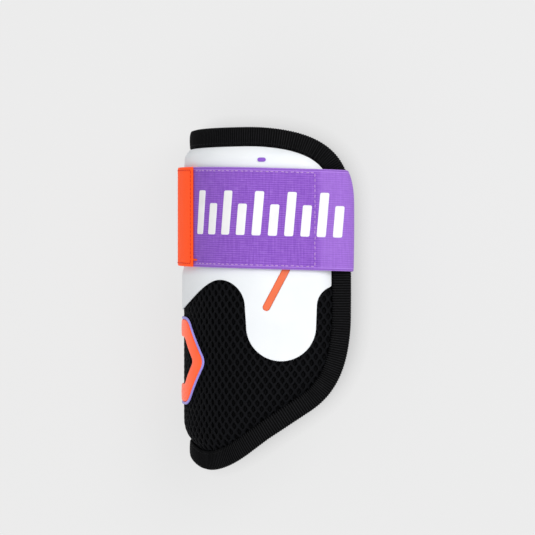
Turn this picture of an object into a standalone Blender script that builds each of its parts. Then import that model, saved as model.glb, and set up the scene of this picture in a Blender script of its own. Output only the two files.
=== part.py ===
"""Elbow guard for batting, lying on its far side.

A padded U-shaped shell wraps the arm. Its section lies in the XZ plane: the crown faces -X, the open
back faces +X, the near wall is on top and the far wall rests on the floor. +Y runs up the arm.
Most places are given on the unrolled skin as (s, v, h): s is the distance from the crown line along
the skin, positive on the near side, v is the height up the arm and h is the height above the skin.
"""
import math

import bmesh
import bpy
import numpy as np
from mathutils import Vector
from mathutils.geometry import interpolate_bezier

# Overall sizes, in metres
HEIGHT = 0.2152
WRAP_HALF = 0.1364
CROWN_RADIUS = 0.054
NEAR_TURN = math.radians(90)
NEAR_SHOULDER_RADIUS = 0.054
FAR_TURN = math.radians(40)
FAR_SHOULDER_RADIUS = 0.024
QUARTER_TURN = math.radians(90)

# Clearances: between neighbouring pieces, and between the strap and the edge that it passes
GAP = 0.0003
STRAP_CLEARANCE = 0.00045

# Padding
PAD_THICK = 0.010
EDGE_CORE = 0.0028
EDGE_DROP = 0.0054
PUFF_WIDTH = 0.017

# Grosgrain binding
BINDING_WIDTH = 0.0116
BINDING_THICK = 0.0012
BINDING_NOSE = 0.0015

# Leather panel and the accents set into it
PANEL_THICK = 0.0010
PANEL_GAP = 0.00035
ACCENT_WIDTH = 0.0045
ACCENT_LEAN = math.radians(27.7)
ACCENT_LENGTH = 0.0290
CROWN_BAR_LENGTH = 0.0150
ACCENT_SUNK = 0.0001

# Strap, its hook patch and its pull tab
STRAP_WIDTH = 0.0628
STRAP_THICK = 0.0012
STRAP_LEAN = math.radians(1.55)
STRAP_BULGE = 0.0004
STRAP_PRESS = 0.0013
STRAP_PRESS_FADE = 0.006
STRAP_PRESS_START = 0.024
PATCH_THICK = 0.0010
PATCH_INSET = 0.0020
TAB_THICK = 0.0010
TAB_LENGTH = 0.0389
TAB_START = -0.0060
TAB_HEM = 0.0030
BACK_BEND_LONG = 0.0120
BACK_BEND_DEEP = 0.0080
FAR_BEND_RADIUS = 0.0050
FAR_END_LENGTH = 0.0300

# Raised emblem on the crown: a six-sided ring, its rim and its face side by side
EMBLEM_WIDTH = 0.0840
EMBLEM_HEIGHT = 0.0560
EMBLEM_THICK = 0.0012
EMBLEM_RIM = 0.0018
EMBLEM_BAND = 0.0110
EMBLEM_SHOULDER = 0.52
EMBLEM_ROUNDING = 0.16

# Places on the unrolled skin, as shares of WRAP_HALF and HEIGHT
STRAP_PLACE_V = 0.7448
PATCH_END_S = 0.840
ACCENT_PLACE = (0.614, 0.478)
CROWN_BAR_PLACE_V = 0.531
EMBLEM_PLACE_V = 0.317
FAR_SEAT_S = 0.905

# Round stretches of the guard's outline, as shares of WRAP_HALF and HEIGHT
OUTLINE_CURVES = (
    # start, handle out, handle in, end
    ((0.513, 1.000), (0.838, 1.000), (1.000, 0.936), (1.000, 0.786)),
    ((1.000, 0.461), (1.000, 0.289), (0.915, 0.218), (0.812, 0.175)),
    ((0.542, 0.062), (0.459, 0.026), (0.367, 0.000), (0.270, 0.000)),
    ((0.270, 0.000), (0.180, 0.000), (0.110, 0.023), (0.000, 0.023)),
)

# Lower edge of the leather panel, as shares of WRAP_HALF and HEIGHT
WAVE_MESH_LOBE = (0.392, 0.478)
WAVE_MESH_LOBE_RADIUS = 0.124
WAVE_TOP = (WAVE_MESH_LOBE[0], WAVE_MESH_LOBE[1] + WAVE_MESH_LOBE_RADIUS * WRAP_HALF / HEIGHT)
WAVE_CROWN = ((0.000, 0.467), (0.191, 0.467), (0.294, WAVE_TOP[1]), WAVE_TOP)
WAVE_LEATHER_LOBE = (0.681, 0.423)
WAVE_LEATHER_LOBE_RADIUS = 0.159
WAVE_SIDE_LOBE = (0.935, 0.481)
WAVE_SIDE_LOBE_RADIUS = 0.0916

# Fineness of the facets
EDGE_POINTS = 72
CURVE_STEPS = 8
CELL_S = 0.006
WALL_CUTS = (0.33, 0.67)
LOWER_CUTS = (0.15, 0.35)
PRESS_CUTS = (-0.5, 0.0, 0.5)
PUFF_ROWS = (0.0, 0.10, 0.30, 0.60, 1.0)
PRESS_ROOM = 0.5
STRAP_COLUMNS = 7
SPAN_SHARES = (0.06, 0.2, 0.4, 0.6, 0.8, 0.94)
WEB_COLUMNS = (-1.0, -0.33, 0.33, 1.0)
BEND_STEPS = 7
CORNER_STEPS = 3
SHARP_ANGLE = math.radians(40)

# Heights above the skin of the layers under and over the strap
PANEL_TOP = PANEL_GAP + PANEL_THICK
PATCH_LOW = PANEL_TOP - STRAP_PRESS + GAP
STRAP_LOW = PATCH_LOW + max(PATCH_THICK, TAB_THICK) + GAP
STRAP_MID = STRAP_LOW + STRAP_THICK / 2
TAB_MID = STRAP_LOW + STRAP_THICK + GAP + TAB_THICK / 2
TAB_UNDER_MID = PATCH_LOW + TAB_THICK / 2
BINDING_SEAM = BINDING_WIDTH + GAP
EDGE_MID = -EDGE_DROP - EDGE_CORE / 2


def section(side):
    """Turn of the crown arc and radius of the shoulder on the near (1) or far (-1) side."""
    if side > 0:
        return NEAR_TURN, NEAR_SHOULDER_RADIUS
    return FAR_TURN, FAR_SHOULDER_RADIUS


def flat_start(side):
    """Distance from the crown line to where the wall becomes flat."""
    turn, shoulder = section(side)
    return CROWN_RADIUS * turn + shoulder * (QUARTER_TURN - turn)


def wrap(s, v, h):
    """Point at height h above the unrolled skin's place (s, v)."""
    side = 1 if s >= 0 else -1
    turn, shoulder = section(side)
    reach = abs(s)
    crown_length = CROWN_RADIUS * turn
    shoulder_x = CROWN_RADIUS - (CROWN_RADIUS - shoulder) * math.cos(turn)
    shoulder_z = (CROWN_RADIUS - shoulder) * math.sin(turn)
    if reach <= crown_length:
        angle = reach / CROWN_RADIUS
        x = CROWN_RADIUS - (CROWN_RADIUS + h) * math.cos(angle)
        z = (CROWN_RADIUS + h) * math.sin(angle)
    elif reach <= flat_start(side):
        angle = turn + (reach - crown_length) / shoulder
        x = shoulder_x - (shoulder + h) * math.cos(angle)
        z = shoulder_z + (shoulder + h) * math.sin(angle)
    else:
        x = shoulder_x + reach - flat_start(side)
        z = shoulder_z + shoulder + h
    return Vector((x, v, side * z))


def bezier(shares, steps=CURVE_STEPS):
    """Points of one curve whose knots and handles are shares of WRAP_HALF and HEIGHT."""
    knots = [Vector((a * WRAP_HALF, b * HEIGHT, 0)) for a, b in shares]
    return [(p.x, p.y) for p in interpolate_bezier(knots[0], knots[1], knots[2], knots[3], steps)]


def arc(centre, radius, start, end, steps=CURVE_STEPS):
    """Points of an arc about a place given as shares; start and end are in degrees."""
    cs, cv = centre[0] * WRAP_HALF, centre[1] * HEIGHT
    angles = [math.radians(start + (end - start) * i / steps) for i in range(steps + 1)]
    return [(cs + radius * math.cos(a), cv + radius * math.sin(a)) for a in angles]


def mirrored(half):
    """Closed outline from the half with s >= 0, given from the centre line round to it again."""
    return half + [(-s, v) for s, v in reversed(half) if s > 1e-6]


def resampled(points, count):
    """The closed outline with count points at equal distances along it."""
    loop = np.array(points + points[:1])
    run = np.concatenate(([0], np.cumsum(np.linalg.norm(np.diff(loop, axis=0), axis=1))))
    at = np.arange(count) / count * run[-1]
    return np.column_stack((np.interp(at, run, loop[:, 0]), np.interp(at, run, loop[:, 1])))


def guard_edge():
    """The guard's outline on the unrolled skin, from the crown's top clockwise."""
    half = [(0.0, HEIGHT)]
    for shares in OUTLINE_CURVES:
        half += bezier(shares)
    return resampled(mirrored(half), EDGE_POINTS)


EDGE = guard_edge()
EDGE_NEXT = np.roll(EDGE, -1, axis=0)
EDGE_ALONG = EDGE_NEXT - np.roll(EDGE, 1, axis=0)
EDGE_INWARD = np.column_stack((EDGE_ALONG[:, 1], -EDGE_ALONG[:, 0]))
EDGE_INWARD /= np.linalg.norm(EDGE_INWARD, axis=1)[:, None]


def edge_distance(s, v):
    """Shortest distance from a place to the guard's outline."""
    step = EDGE_NEXT - EDGE
    place = np.array((s, v)) - EDGE
    share = np.clip((place * step).sum(axis=1) / (step * step).sum(axis=1), 0, 1)
    return float(np.linalg.norm(place - step * share[:, None], axis=1).min())


def inset(distance):
    """The guard's outline moved inwards."""
    return EDGE + EDGE_INWARD * distance


def side_edge_s(v):
    """Where the near side's edge runs at height v."""
    right = EDGE[EDGE[:, 0] > WRAP_HALF / 2]
    order = np.argsort(right[:, 1])
    return float(np.interp(v, right[order, 1], right[order, 0]))


def smooth_step(x):
    """0 to 1 with level ends."""
    x = min(max(x, 0.0), 1.0)
    return x * x * (3 - 2 * x)


def strap_centre(s):
    """Height of the strap's centre line, which leans down towards the back."""
    return STRAP_PLACE_V * HEIGHT - math.tan(STRAP_LEAN) * s


def skin(s, v):
    """Height of the padding: it falls to the binding and is pressed in under the strap."""
    share = min(max((edge_distance(s, v) - BINDING_SEAM) / PUFF_WIDTH, 0.0), 1.0)
    fall = EDGE_DROP * (1 - share) ** 3
    outside = (abs(v - strap_centre(s)) - STRAP_WIDTH / 2) / STRAP_PRESS_FADE
    across = 1 - smooth_step(outside)
    along = smooth_step((s - TAB_START) / STRAP_PRESS_START + 1)
    room = min(1.0, share / PRESS_ROOM)
    return -fall - STRAP_PRESS * across * along * room


def make_object(name, bm):
    """Turns a bmesh into a named object of the guard."""
    bmesh.ops.recalc_face_normals(bm, faces=bm.faces)
    mesh = bpy.data.meshes.new(name)
    bm.to_mesh(mesh)
    bm.free()
    mesh.shade_smooth()
    mesh.set_sharp_from_angle(angle=SHARP_ANGLE)
    piece = bpy.data.objects.new(name, mesh)
    guard.objects.link(piece)
    piece.parent = root
    return piece


def cut_lines():
    """Lines on the unrolled skin along which flat pieces are divided, so that they can bend."""
    s_lines = [0.0]
    for side in (1, -1):
        start = flat_start(side)
        count = math.ceil(start / CELL_S)
        s_lines += [side * start * (i + 1) / count for i in range(count)]
        s_lines += [side * (start + (WRAP_HALF - start) * share) for share in WALL_CUTS]
    v_lines = [HEIGHT * share for share in LOWER_CUTS]
    lean = math.tan(STRAP_LEAN) * WRAP_HALF
    for edge in (-1, 1):
        middle = strap_centre(WRAP_HALF / 2) + edge * (STRAP_WIDTH + STRAP_PRESS_FADE) / 2
        reach = lean + STRAP_PRESS_FADE
        v_lines += [middle + reach * share for share in PRESS_CUTS]
    return s_lines, v_lines


def bend(name, bm, place):
    """Divides a flat solid along the cut lines and lays its points round the skin."""
    s_lines, v_lines = cut_lines()
    for normal, lines in ((Vector((1, 0, 0)), s_lines), (Vector((0, 1, 0)), v_lines)):
        for value in lines:
            everything = bm.verts[:] + bm.edges[:] + bm.faces[:]
            bmesh.ops.bisect_plane(bm, geom=everything, dist=1e-6, plane_co=normal * value, plane_no=normal)
    bmesh.ops.triangulate(bm, faces=bm.faces[:])
    for vert in bm.verts:
        vert.co = place(*vert.co)
    return make_object(name, bm)


def on_skin(low, high):
    """Place of a unit-high flat solid's points between two heights above the padding's skin."""
    return lambda s, v, top: wrap(s, v, skin(s, v) + (high if top > 0.5 else low))


def slab(distances):
    """Unit-high flat solid inside the guard's outline, divided along lines that follow the edge."""
    bm = bmesh.new()
    loops = [[bm.verts.new((s, v, 0)) for s, v in inset(d)] for d in distances]
    faces = [bm.faces.new(loops[-1])]
    for outer, inner in zip(loops, loops[1:]):
        for i in range(EDGE_POINTS):
            j = (i + 1) % EDGE_POINTS
            faces.append(bm.faces.new((outer[i], outer[j], inner[j], inner[i])))
    raised = bmesh.ops.extrude_face_region(bm, geom=faces, use_keep_orig=True)["geom"]
    bmesh.ops.translate(bm, verts=[e for e in raised if isinstance(e, bmesh.types.BMVert)], vec=(0, 0, 1))
    bmesh.ops.recalc_face_normals(bm, faces=bm.faces)
    return bm


def puff_rows():
    """Distances from the edge at which the padding's fall to the binding is shaped."""
    return [BINDING_SEAM + PUFF_WIDTH * share for share in PUFF_ROWS]


def build_pad():
    """The padded shell, thin under the binding and full inside it."""
    def place(s, v, top):
        if top > 0.5:
            return wrap(s, v, skin(s, v))
        share = (edge_distance(s, v) - BINDING_SEAM) / (PUFF_WIDTH * PUFF_ROWS[-2])
        edge_depth = EDGE_DROP + EDGE_CORE
        return wrap(s, v, -edge_depth - (PAD_THICK - edge_depth) * smooth_step(share))
    bend("pad_body", slab([BINDING_NOSE + GAP] + puff_rows()), place)


def keep_half(bm, side):
    """Keeps what lies on the near (1) or far (-1) side of the crown line, and closes the cut."""
    away = Vector((side, 0, 0))
    everything = bm.verts[:] + bm.edges[:] + bm.faces[:]
    bmesh.ops.bisect_plane(bm, geom=everything, dist=1e-6, plane_co=away * GAP / 2, plane_no=away, clear_inner=True)
    rims = [edge for edge in bm.edges if len(edge.link_faces) == 1]
    bmesh.ops.holes_fill(bm, edges=rims)


def build_binding():
    """Tape folded round the pad's edge, as a C section carried along the outline, in two halves."""
    leg = (
        # share of the tape's width, share of the tape's thickness above the core
        (1.00, 0.00),
        (1.00, 0.75),
        (0.60, 1.15),
        (0.12, 0.70),
    )
    half = EDGE_CORE / 2 + GAP
    outer = [(BINDING_WIDTH * a, half + BINDING_THICK * b) for a, b in leg]
    profile = outer + [(0.0, 0.0)] + [(d, -h) for d, h in reversed(outer)]
    profile += [(BINDING_NOSE, -half), (BINDING_NOSE, half)]
    for name, side in (("edge_binding_near", 1), ("edge_binding_far", -1)):
        bm = bmesh.new()
        loops = [[bm.verts.new((s, v, EDGE_MID + h)) for s, v in inset(d)] for d, h in profile]
        for low, high in zip(loops, loops[1:] + loops[:1]):
            for i in range(EDGE_POINTS):
                j = (i + 1) % EDGE_POINTS
                bm.faces.new((low[i], low[j], high[j], high[i]))
        keep_half(bm, side)
        bend(name, bm, wrap)


def pill(place, length, width, lean):
    """Outline of a bar with round ends; place is the centre of its lower end."""
    along = Vector((math.sin(lean), math.cos(lean)))
    across = Vector((along.y, -along.x))
    points = []
    for end, start in ((Vector(place), 0), (Vector(place) + along * length, 180)):
        for i in range(CURVE_STEPS + 1):
            a = math.radians(start + 180 * i / CURVE_STEPS)
            points.append(tuple(end + (across * math.cos(a) - along * math.sin(a)) * width / 2))
    return points


def prism(outline, low, high):
    """Closed flat solid over an outline in the (s, v) plane."""
    bm = bmesh.new()
    base = bm.faces.new([bm.verts.new((s, v, low)) for s, v in outline])
    top = bmesh.ops.extrude_face_region(bm, geom=[base])["geom"]
    bmesh.ops.translate(bm, verts=[e for e in top if isinstance(e, bmesh.types.BMVert)], vec=(0, 0, high - low))
    bmesh.ops.recalc_face_normals(bm, faces=bm.faces)
    return bm


def flat_object(bm):
    """A helper object that holds a flat solid while it is cut."""
    mesh = bpy.data.meshes.new("flat")
    bm.to_mesh(mesh)
    bm.free()
    helper = bpy.data.objects.new("flat", mesh)
    helper.hide_render = True
    helper.display_type = "WIRE"
    cutters.objects.link(helper)
    return helper


def cut_flat(bm, outline, holes):
    """Trims a flat solid to an outline, cuts holes through it and gives it back as a bmesh."""
    flat = flat_object(bm)
    tools = [("INTERSECT", outline)] + [("DIFFERENCE", hole) for hole in holes]
    for operation, shape in tools:
        cut = flat.modifiers.new("cut", "BOOLEAN")
        cut.operation = operation
        cut.solver = "MANIFOLD"
        cut.object = flat_object(prism(shape, -1.0, 2.0))
    bpy.context.view_layer.update()
    evaluated = flat.evaluated_get(bpy.context.evaluated_depsgraph_get())
    result = bmesh.new()
    result.from_mesh(evaluated.to_mesh())
    evaluated.to_mesh_clear()
    for spare in list(cutters.objects):
        bpy.data.objects.remove(spare)
    return result


def flat_piece(name, outline, low, high):
    """A sheet cut flat from an outline, then laid round the skin between two heights above it."""
    bend(name, prism(outline, 0.0, 1.0), on_skin(low, high))


def panel_outline():
    """The leather panel: the binding's seam above and at the sides, a wave below."""
    border = [tuple(p) for p in inset(BINDING_SEAM + GAP)]
    mesh_radius = WAVE_MESH_LOBE_RADIUS * WRAP_HALF
    leather_radius = WAVE_LEATHER_LOBE_RADIUS * WRAP_HALF
    side_radius = WAVE_SIDE_LOBE_RADIUS * WRAP_HALF
    wave = bezier(WAVE_CROWN)[:-1]
    wave += arc(WAVE_MESH_LOBE, mesh_radius, 90, 0)
    wave += arc(WAVE_LEATHER_LOBE, leather_radius, 180, 360, 2 * CURVE_STEPS)
    wave += arc(WAVE_SIDE_LOBE, side_radius, 180, 90)
    side = wave[-1][1]
    upper = [p for p in border if p[0] > 1e-6 and p[1] > side]
    top_v = max(v for s, v in border)
    wave = [p for p in wave if p[0] < upper[-1][0] - GAP]
    edge_s = float(np.interp(side, [upper[-1][1], upper[-2][1]], [upper[-1][0], upper[-2][0]]))
    half = [(0.0, top_v)] + upper + [(edge_s, side)] + list(reversed(wave))
    return mirrored(half)


def accent_place(side):
    """Centre of the lower end of the leaning bar."""
    return (side * ACCENT_PLACE[0] * WRAP_HALF, ACCENT_PLACE[1] * HEIGHT)


def build_panel_and_accents():
    """Leather panel with slots, and the bars that are set into them."""
    crown_place = (0.0, CROWN_BAR_PLACE_V * HEIGHT + ACCENT_WIDTH / 2)
    bars = (
        # name, centre of the lower end, length, lean
        ("accent_bar_near", accent_place(1), ACCENT_LENGTH, ACCENT_LEAN),
        ("accent_bar_far", accent_place(-1), ACCENT_LENGTH, -ACCENT_LEAN),
        ("crown_bar", crown_place, CROWN_BAR_LENGTH, 0.0),
    )
    slots = [pill(place, length, ACCENT_WIDTH + 2 * GAP, lean) for name, place, length, lean in bars]
    sheet = cut_flat(slab(puff_rows()), panel_outline(), slots)
    bend("leather_panel", sheet, on_skin(PANEL_GAP, PANEL_TOP))
    for name, place, length, lean in bars:
        flat_piece(name, pill(place, length, ACCENT_WIDTH, lean), PANEL_GAP, PANEL_TOP - ACCENT_SUNK)


def badge_outline(margin):
    """Plain hexagon with rounded corners, smaller by a margin all round."""
    wide, tall = EMBLEM_WIDTH / 2 - margin, EMBLEM_HEIGHT / 2 - margin
    shoulder = wide * EMBLEM_SHOULDER
    corners = ((wide, 0), (shoulder, tall), (-shoulder, tall), (-wide, 0), (-shoulder, -tall), (shoulder, -tall))
    points = []
    for i, corner in enumerate(corners):
        here = Vector(corner)
        before = here.lerp(Vector(corners[i - 1]), EMBLEM_ROUNDING)
        after = here.lerp(Vector(corners[(i + 1) % len(corners)]), EMBLEM_ROUNDING)
        for j in range(CORNER_STEPS + 1):
            t = j / CORNER_STEPS
            points.append(before.lerp(here, t).lerp(here.lerp(after, t), t))
    return [(p.x, EMBLEM_PLACE_V * HEIGHT + p.y) for p in points]


def build_emblem():
    """Rubber ring on the crown: a narrow rim, and a broad face inside it."""
    seam = EMBLEM_RIM + GAP
    rings = (
        # name, margin of the outer edge, margin of the inner edge
        ("emblem_rim", 0.0, EMBLEM_RIM),
        ("emblem_face", seam, seam + EMBLEM_BAND),
    )
    for name, outer, inner in rings:
        outline = badge_outline(outer)
        ring = cut_flat(prism(outline, 0.0, 1.0), outline, [badge_outline(inner)])
        bend(name, ring, on_skin(GAP, GAP + EMBLEM_THICK))


def ribbon(name, rows, thickness):
    """Flat webbing: an open grid of points given a thickness on both sides."""
    bm = bmesh.new()
    lines = [[bm.verts.new(p) for p in row] for row in rows]
    for low, high in zip(lines, lines[1:]):
        for i in range(len(low) - 1):
            bm.faces.new((low[i], low[i + 1], high[i + 1], high[i]))
    piece = make_object(name, bm)
    wall = piece.modifiers.new("thickness", "SOLIDIFY")
    wall.thickness = thickness
    wall.offset = 0
    wall.use_even_offset = True
    return piece


def spread(start, end, step):
    """Values from start to end, about a step apart."""
    count = max(1, round(abs(end - start) / step))
    return [start + (end - start) * i / count for i in range(count + 1)]


def strap_path(v, bulge):
    """The strap's line in XZ at height v: near wall, bend at the back, span and seat on the far lining."""
    leave = flat_start(1)
    line = [wrap(s, v, STRAP_MID) for s in spread(TAB_START + TAB_HEM, leave, CELL_S)]
    back_x = wrap(side_edge_s(v), v, 0).x + STRAP_CLEARANCE + STRAP_THICK / 2 + bulge
    top_z = wrap(WRAP_HALF, v, STRAP_MID).z
    for x in spread(line[-1].x, back_x - BACK_BEND_LONG, 2 * CELL_S)[1:]:
        line.append(Vector((x, v, top_z)))
    far_z = wrap(-WRAP_HALF, v, -PAD_THICK - GAP - STRAP_THICK / 2).z
    seat_x = wrap(-FAR_SEAT_S * WRAP_HALF, v, 0).x
    low = Vector((seat_x, v, far_z + FAR_BEND_RADIUS))
    high = Vector((back_x, v, top_z - BACK_BEND_DEEP))
    for i in range(1, BEND_STEPS + 1):
        a = QUARTER_TURN * i / BEND_STEPS
        x = back_x - BACK_BEND_LONG * (1 - math.sin(a))
        line.append(Vector((x, v, high.z + BACK_BEND_DEEP * math.cos(a))))
    line += [high.lerp(low, share) for share in SPAN_SHARES]
    for i in range(BEND_STEPS + 1):
        a = QUARTER_TURN * i / BEND_STEPS
        x = seat_x - FAR_BEND_RADIUS * (1 - math.cos(a))
        line.append(Vector((x, v, far_z + FAR_BEND_RADIUS * (1 - math.sin(a)))))
    end_x = line[-1].x - FAR_END_LENGTH
    line += [Vector((x, v, far_z)) for x in spread(line[-1].x, end_x, 2 * CELL_S)[1:]]
    return line


def build_strap():
    """Elastic strap, from under the pull tab round the near wall and the back to the far lining."""
    columns = []
    for j in range(STRAP_COLUMNS):
        across = j / (STRAP_COLUMNS - 1) - 0.5
        line = strap_path(strap_centre(WRAP_HALF) + across * STRAP_WIDTH, STRAP_BULGE * (1 - 4 * across ** 2))
        run = TAB_START + TAB_HEM
        column = []
        for before, p in zip(line[:1] + line, line):
            run += (p - before).length
            column.append(Vector((p.x, strap_centre(run) + across * STRAP_WIDTH, p.z)))
        columns.append(column)
    rows = [list(row) for row in zip(*columns)]
    return ribbon("strap", rows, STRAP_THICK)


def build_patch():
    """Hook patch sewn under the strap."""
    start = TAB_START + TAB_LENGTH + GAP
    mid = PATCH_LOW + PATCH_THICK / 2
    half = STRAP_WIDTH / 2 - PATCH_INSET
    rows = []
    for s in spread(start, PATCH_END_S * WRAP_HALF, CELL_S):
        rows.append([wrap(s, strap_centre(s) + half * a, mid) for a in WEB_COLUMNS])
    return ribbon("hook_patch", rows, PATCH_THICK)


def build_tab():
    """Pull tab folded over the strap's end."""
    end = TAB_START + TAB_LENGTH
    fold = (TAB_MID - TAB_UNDER_MID) / 2
    fold_s = TAB_START + fold
    route = [(s, TAB_UNDER_MID) for s in spread(end - GAP, fold_s, CELL_S)]
    for i in range(1, BEND_STEPS):
        a = math.pi * i / BEND_STEPS
        route.append((fold_s - fold * math.sin(a), TAB_UNDER_MID + fold * (1 - math.cos(a))))
    route += [(s, TAB_MID) for s in spread(fold_s, end, CELL_S)]
    half = STRAP_WIDTH / 2
    rows = []
    for s, h in route:
        rows.append([wrap(s, strap_centre(s) + half * a, h) for a in WEB_COLUMNS])
    return ribbon("pull_tab", rows, TAB_THICK)


def paint(piece, name, colour, roughness):
    """Plain material of one piece."""
    material = bpy.data.materials.get(name) or bpy.data.materials.new(name)
    material.use_nodes = True
    shader = material.node_tree.nodes["Principled BSDF"]
    shader.inputs["Base Color"].default_value = (*colour, 1)
    shader.inputs["Roughness"].default_value = roughness
    shader.inputs["Metallic"].default_value = 0.0
    material.diffuse_color = (*colour, 1)
    piece.data.materials.append(material)


FINISHES = {
    # node: material, linear colour, roughness
    "pad_body": ("black mesh", (0.008, 0.008, 0.009), 0.85),
    "edge_binding_near": ("black grosgrain", (0.010, 0.010, 0.011), 0.80),
    "edge_binding_far": ("black grosgrain", (0.010, 0.010, 0.011), 0.80),
    "leather_panel": ("white leather", (0.86, 0.87, 0.88), 0.45),
    "accent_bar_near": ("orange rubber", (1.0, 0.12, 0.03), 0.45),
    "accent_bar_far": ("orange rubber", (1.0, 0.12, 0.03), 0.45),
    "crown_bar": ("purple rubber", (0.28, 0.10, 0.62), 0.45),
    "emblem_rim": ("lilac rubber", (0.36, 0.32, 0.86), 0.40),
    "emblem_face": ("orange rubber", (1.0, 0.12, 0.03), 0.45),
    "strap": ("purple elastic", (0.30, 0.11, 0.66), 0.80),
    "hook_patch": ("purple hook tape", (0.16, 0.07, 0.34), 0.85),
    "pull_tab": ("orange tape", (1.0, 0.11, 0.02), 0.75),
}


def stand_on_origin():
    """Moves the whole guard so that the middle of its box's bottom is the origin."""
    bpy.context.view_layer.update()
    depsgraph = bpy.context.evaluated_depsgraph_get()
    corners = []
    for piece in guard.objects:
        if piece.type != "MESH":
            continue
        evaluated = piece.evaluated_get(depsgraph)
        mesh = evaluated.to_mesh()
        places = np.empty(len(mesh.vertices) * 3)
        mesh.vertices.foreach_get("co", places)
        places = places.reshape(-1, 3)
        corners += [places.min(axis=0), places.max(axis=0)]
        evaluated.to_mesh_clear()
    low, high = np.min(corners, axis=0), np.max(corners, axis=0)
    root.location = (-(low[0] + high[0]) / 2, -(low[1] + high[1]) / 2, -low[2])
    bpy.context.view_layer.update()


for old in list(bpy.data.objects):
    bpy.data.objects.remove(old, do_unlink=True)
guard = bpy.data.collections.new("elbow guard")
cutters = bpy.data.collections.new("cutters")
bpy.context.scene.collection.children.link(guard)
bpy.context.scene.collection.children.link(cutters)
root = bpy.data.objects.new("guard_root", None)
guard.objects.link(root)

build_pad()
build_binding()
build_panel_and_accents()
build_emblem()
build_strap()
build_patch()
build_tab()
for node, finish in FINISHES.items():
    paint(bpy.data.objects[node], *finish)
stand_on_origin()
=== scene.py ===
"""Looks of the elbow guard: spacer mesh, leather, grosgrain binding, elastic strap, tab and emblem.

Places are mostly given on the unrolled skin as (s, v, h), in metres, as in the part: s is the distance
from the crown line along the skin, v the height up the arm and h the height above the skin.
"""
import math

import bpy
import numpy as np
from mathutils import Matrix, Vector
from mathutils.geometry import delaunay_2d_cdt, interpolate_bezier


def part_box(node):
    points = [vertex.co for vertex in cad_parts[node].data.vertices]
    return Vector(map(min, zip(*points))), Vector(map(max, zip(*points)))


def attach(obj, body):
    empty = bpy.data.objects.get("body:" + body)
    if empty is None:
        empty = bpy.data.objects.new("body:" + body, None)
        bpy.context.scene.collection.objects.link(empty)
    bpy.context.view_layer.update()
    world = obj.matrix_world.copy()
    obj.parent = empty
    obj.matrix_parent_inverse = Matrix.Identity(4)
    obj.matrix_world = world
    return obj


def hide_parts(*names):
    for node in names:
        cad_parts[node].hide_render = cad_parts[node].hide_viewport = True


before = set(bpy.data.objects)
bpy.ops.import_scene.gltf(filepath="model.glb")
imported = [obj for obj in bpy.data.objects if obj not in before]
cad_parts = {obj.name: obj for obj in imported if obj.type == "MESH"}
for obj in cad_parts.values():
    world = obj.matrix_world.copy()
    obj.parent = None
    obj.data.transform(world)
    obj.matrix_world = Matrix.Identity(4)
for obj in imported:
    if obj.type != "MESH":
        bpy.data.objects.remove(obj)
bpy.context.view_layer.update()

# Sizes that repeat the part's
HEIGHT = 0.2152
WRAP_HALF = 0.1364
CROWN_RADIUS = 0.054
NEAR_TURN = math.radians(90)
NEAR_SHOULDER_RADIUS = 0.054
FAR_TURN = math.radians(40)
FAR_SHOULDER_RADIUS = 0.024
QUARTER_TURN = math.radians(90)
PAD_THICK = 0.010
EDGE_CORE = 0.0028
EDGE_DROP = 0.0054
PUFF_WIDTH = 0.017
BINDING_WIDTH = 0.0116
BINDING_THICK = 0.0012
BINDING_NOSE = 0.0015
GAP = 0.0003
STRAP_CLEARANCE = 0.00045
PANEL_THICK = 0.0010
PANEL_GAP = 0.00035
ACCENT_WIDTH = 0.0045
ACCENT_LEAN = math.radians(27.7)
ACCENT_LENGTH = 0.0290
CROWN_BAR_LENGTH = 0.0150
STRAP_WIDTH = 0.0628
STRAP_THICK = 0.0012
STRAP_LEAN = math.radians(1.55)
STRAP_BULGE = 0.0004
STRAP_PRESS = 0.0013
STRAP_PRESS_FADE = 0.006
STRAP_PRESS_START = 0.024
PRESS_ROOM = 0.5
PATCH_THICK = 0.0010
TAB_THICK = 0.0010
TAB_LENGTH = 0.0389
TAB_START = -0.0060
TAB_HEM = 0.0030
BACK_BEND_LONG = 0.0120
BACK_BEND_DEEP = 0.0080
FAR_BEND_RADIUS = 0.0050
FAR_END_LENGTH = 0.0300
EMBLEM_WIDTH = 0.0840
EMBLEM_HEIGHT = 0.0560
EMBLEM_THICK = 0.0012
EMBLEM_RIM = 0.0018
EMBLEM_BAND = 0.0110
EMBLEM_SHOULDER = 0.52
EMBLEM_ROUNDING = 0.16
RIM_ROUNDING = 0.0007
FACE_ROUNDING = 0.0009

# Shares of WRAP_HALF and HEIGHT that repeat the part's
STRAP_PLACE_V = 0.7448
PATCH_END_S = 0.840
ACCENT_PLACE = (0.614, 0.478)
CROWN_BAR_PLACE_V = 0.531
EMBLEM_PLACE_V = 0.317
FAR_SEAT_S = 0.905
OUTLINE_CURVES = (
    # start, handle out, handle in, end
    ((0.513, 1.000), (0.838, 1.000), (1.000, 0.936), (1.000, 0.786)),
    ((1.000, 0.461), (1.000, 0.289), (0.915, 0.218), (0.812, 0.175)),
    ((0.542, 0.062), (0.459, 0.026), (0.367, 0.000), (0.270, 0.000)),
    ((0.270, 0.000), (0.180, 0.000), (0.110, 0.023), (0.000, 0.023)),
)
WAVE_MESH_LOBE = (0.392, 0.478)
WAVE_MESH_LOBE_RADIUS = 0.124
WAVE_TOP = (WAVE_MESH_LOBE[0], WAVE_MESH_LOBE[1] + WAVE_MESH_LOBE_RADIUS * WRAP_HALF / HEIGHT)
WAVE_CROWN = ((0.000, 0.467), (0.191, 0.467), (0.294, WAVE_TOP[1]), WAVE_TOP)
WAVE_LEATHER_LOBE = (0.681, 0.423)
WAVE_LEATHER_LOBE_RADIUS = 0.159
WAVE_SIDE_LOBE = (0.935, 0.481)
WAVE_SIDE_LOBE_RADIUS = 0.0916

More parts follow.
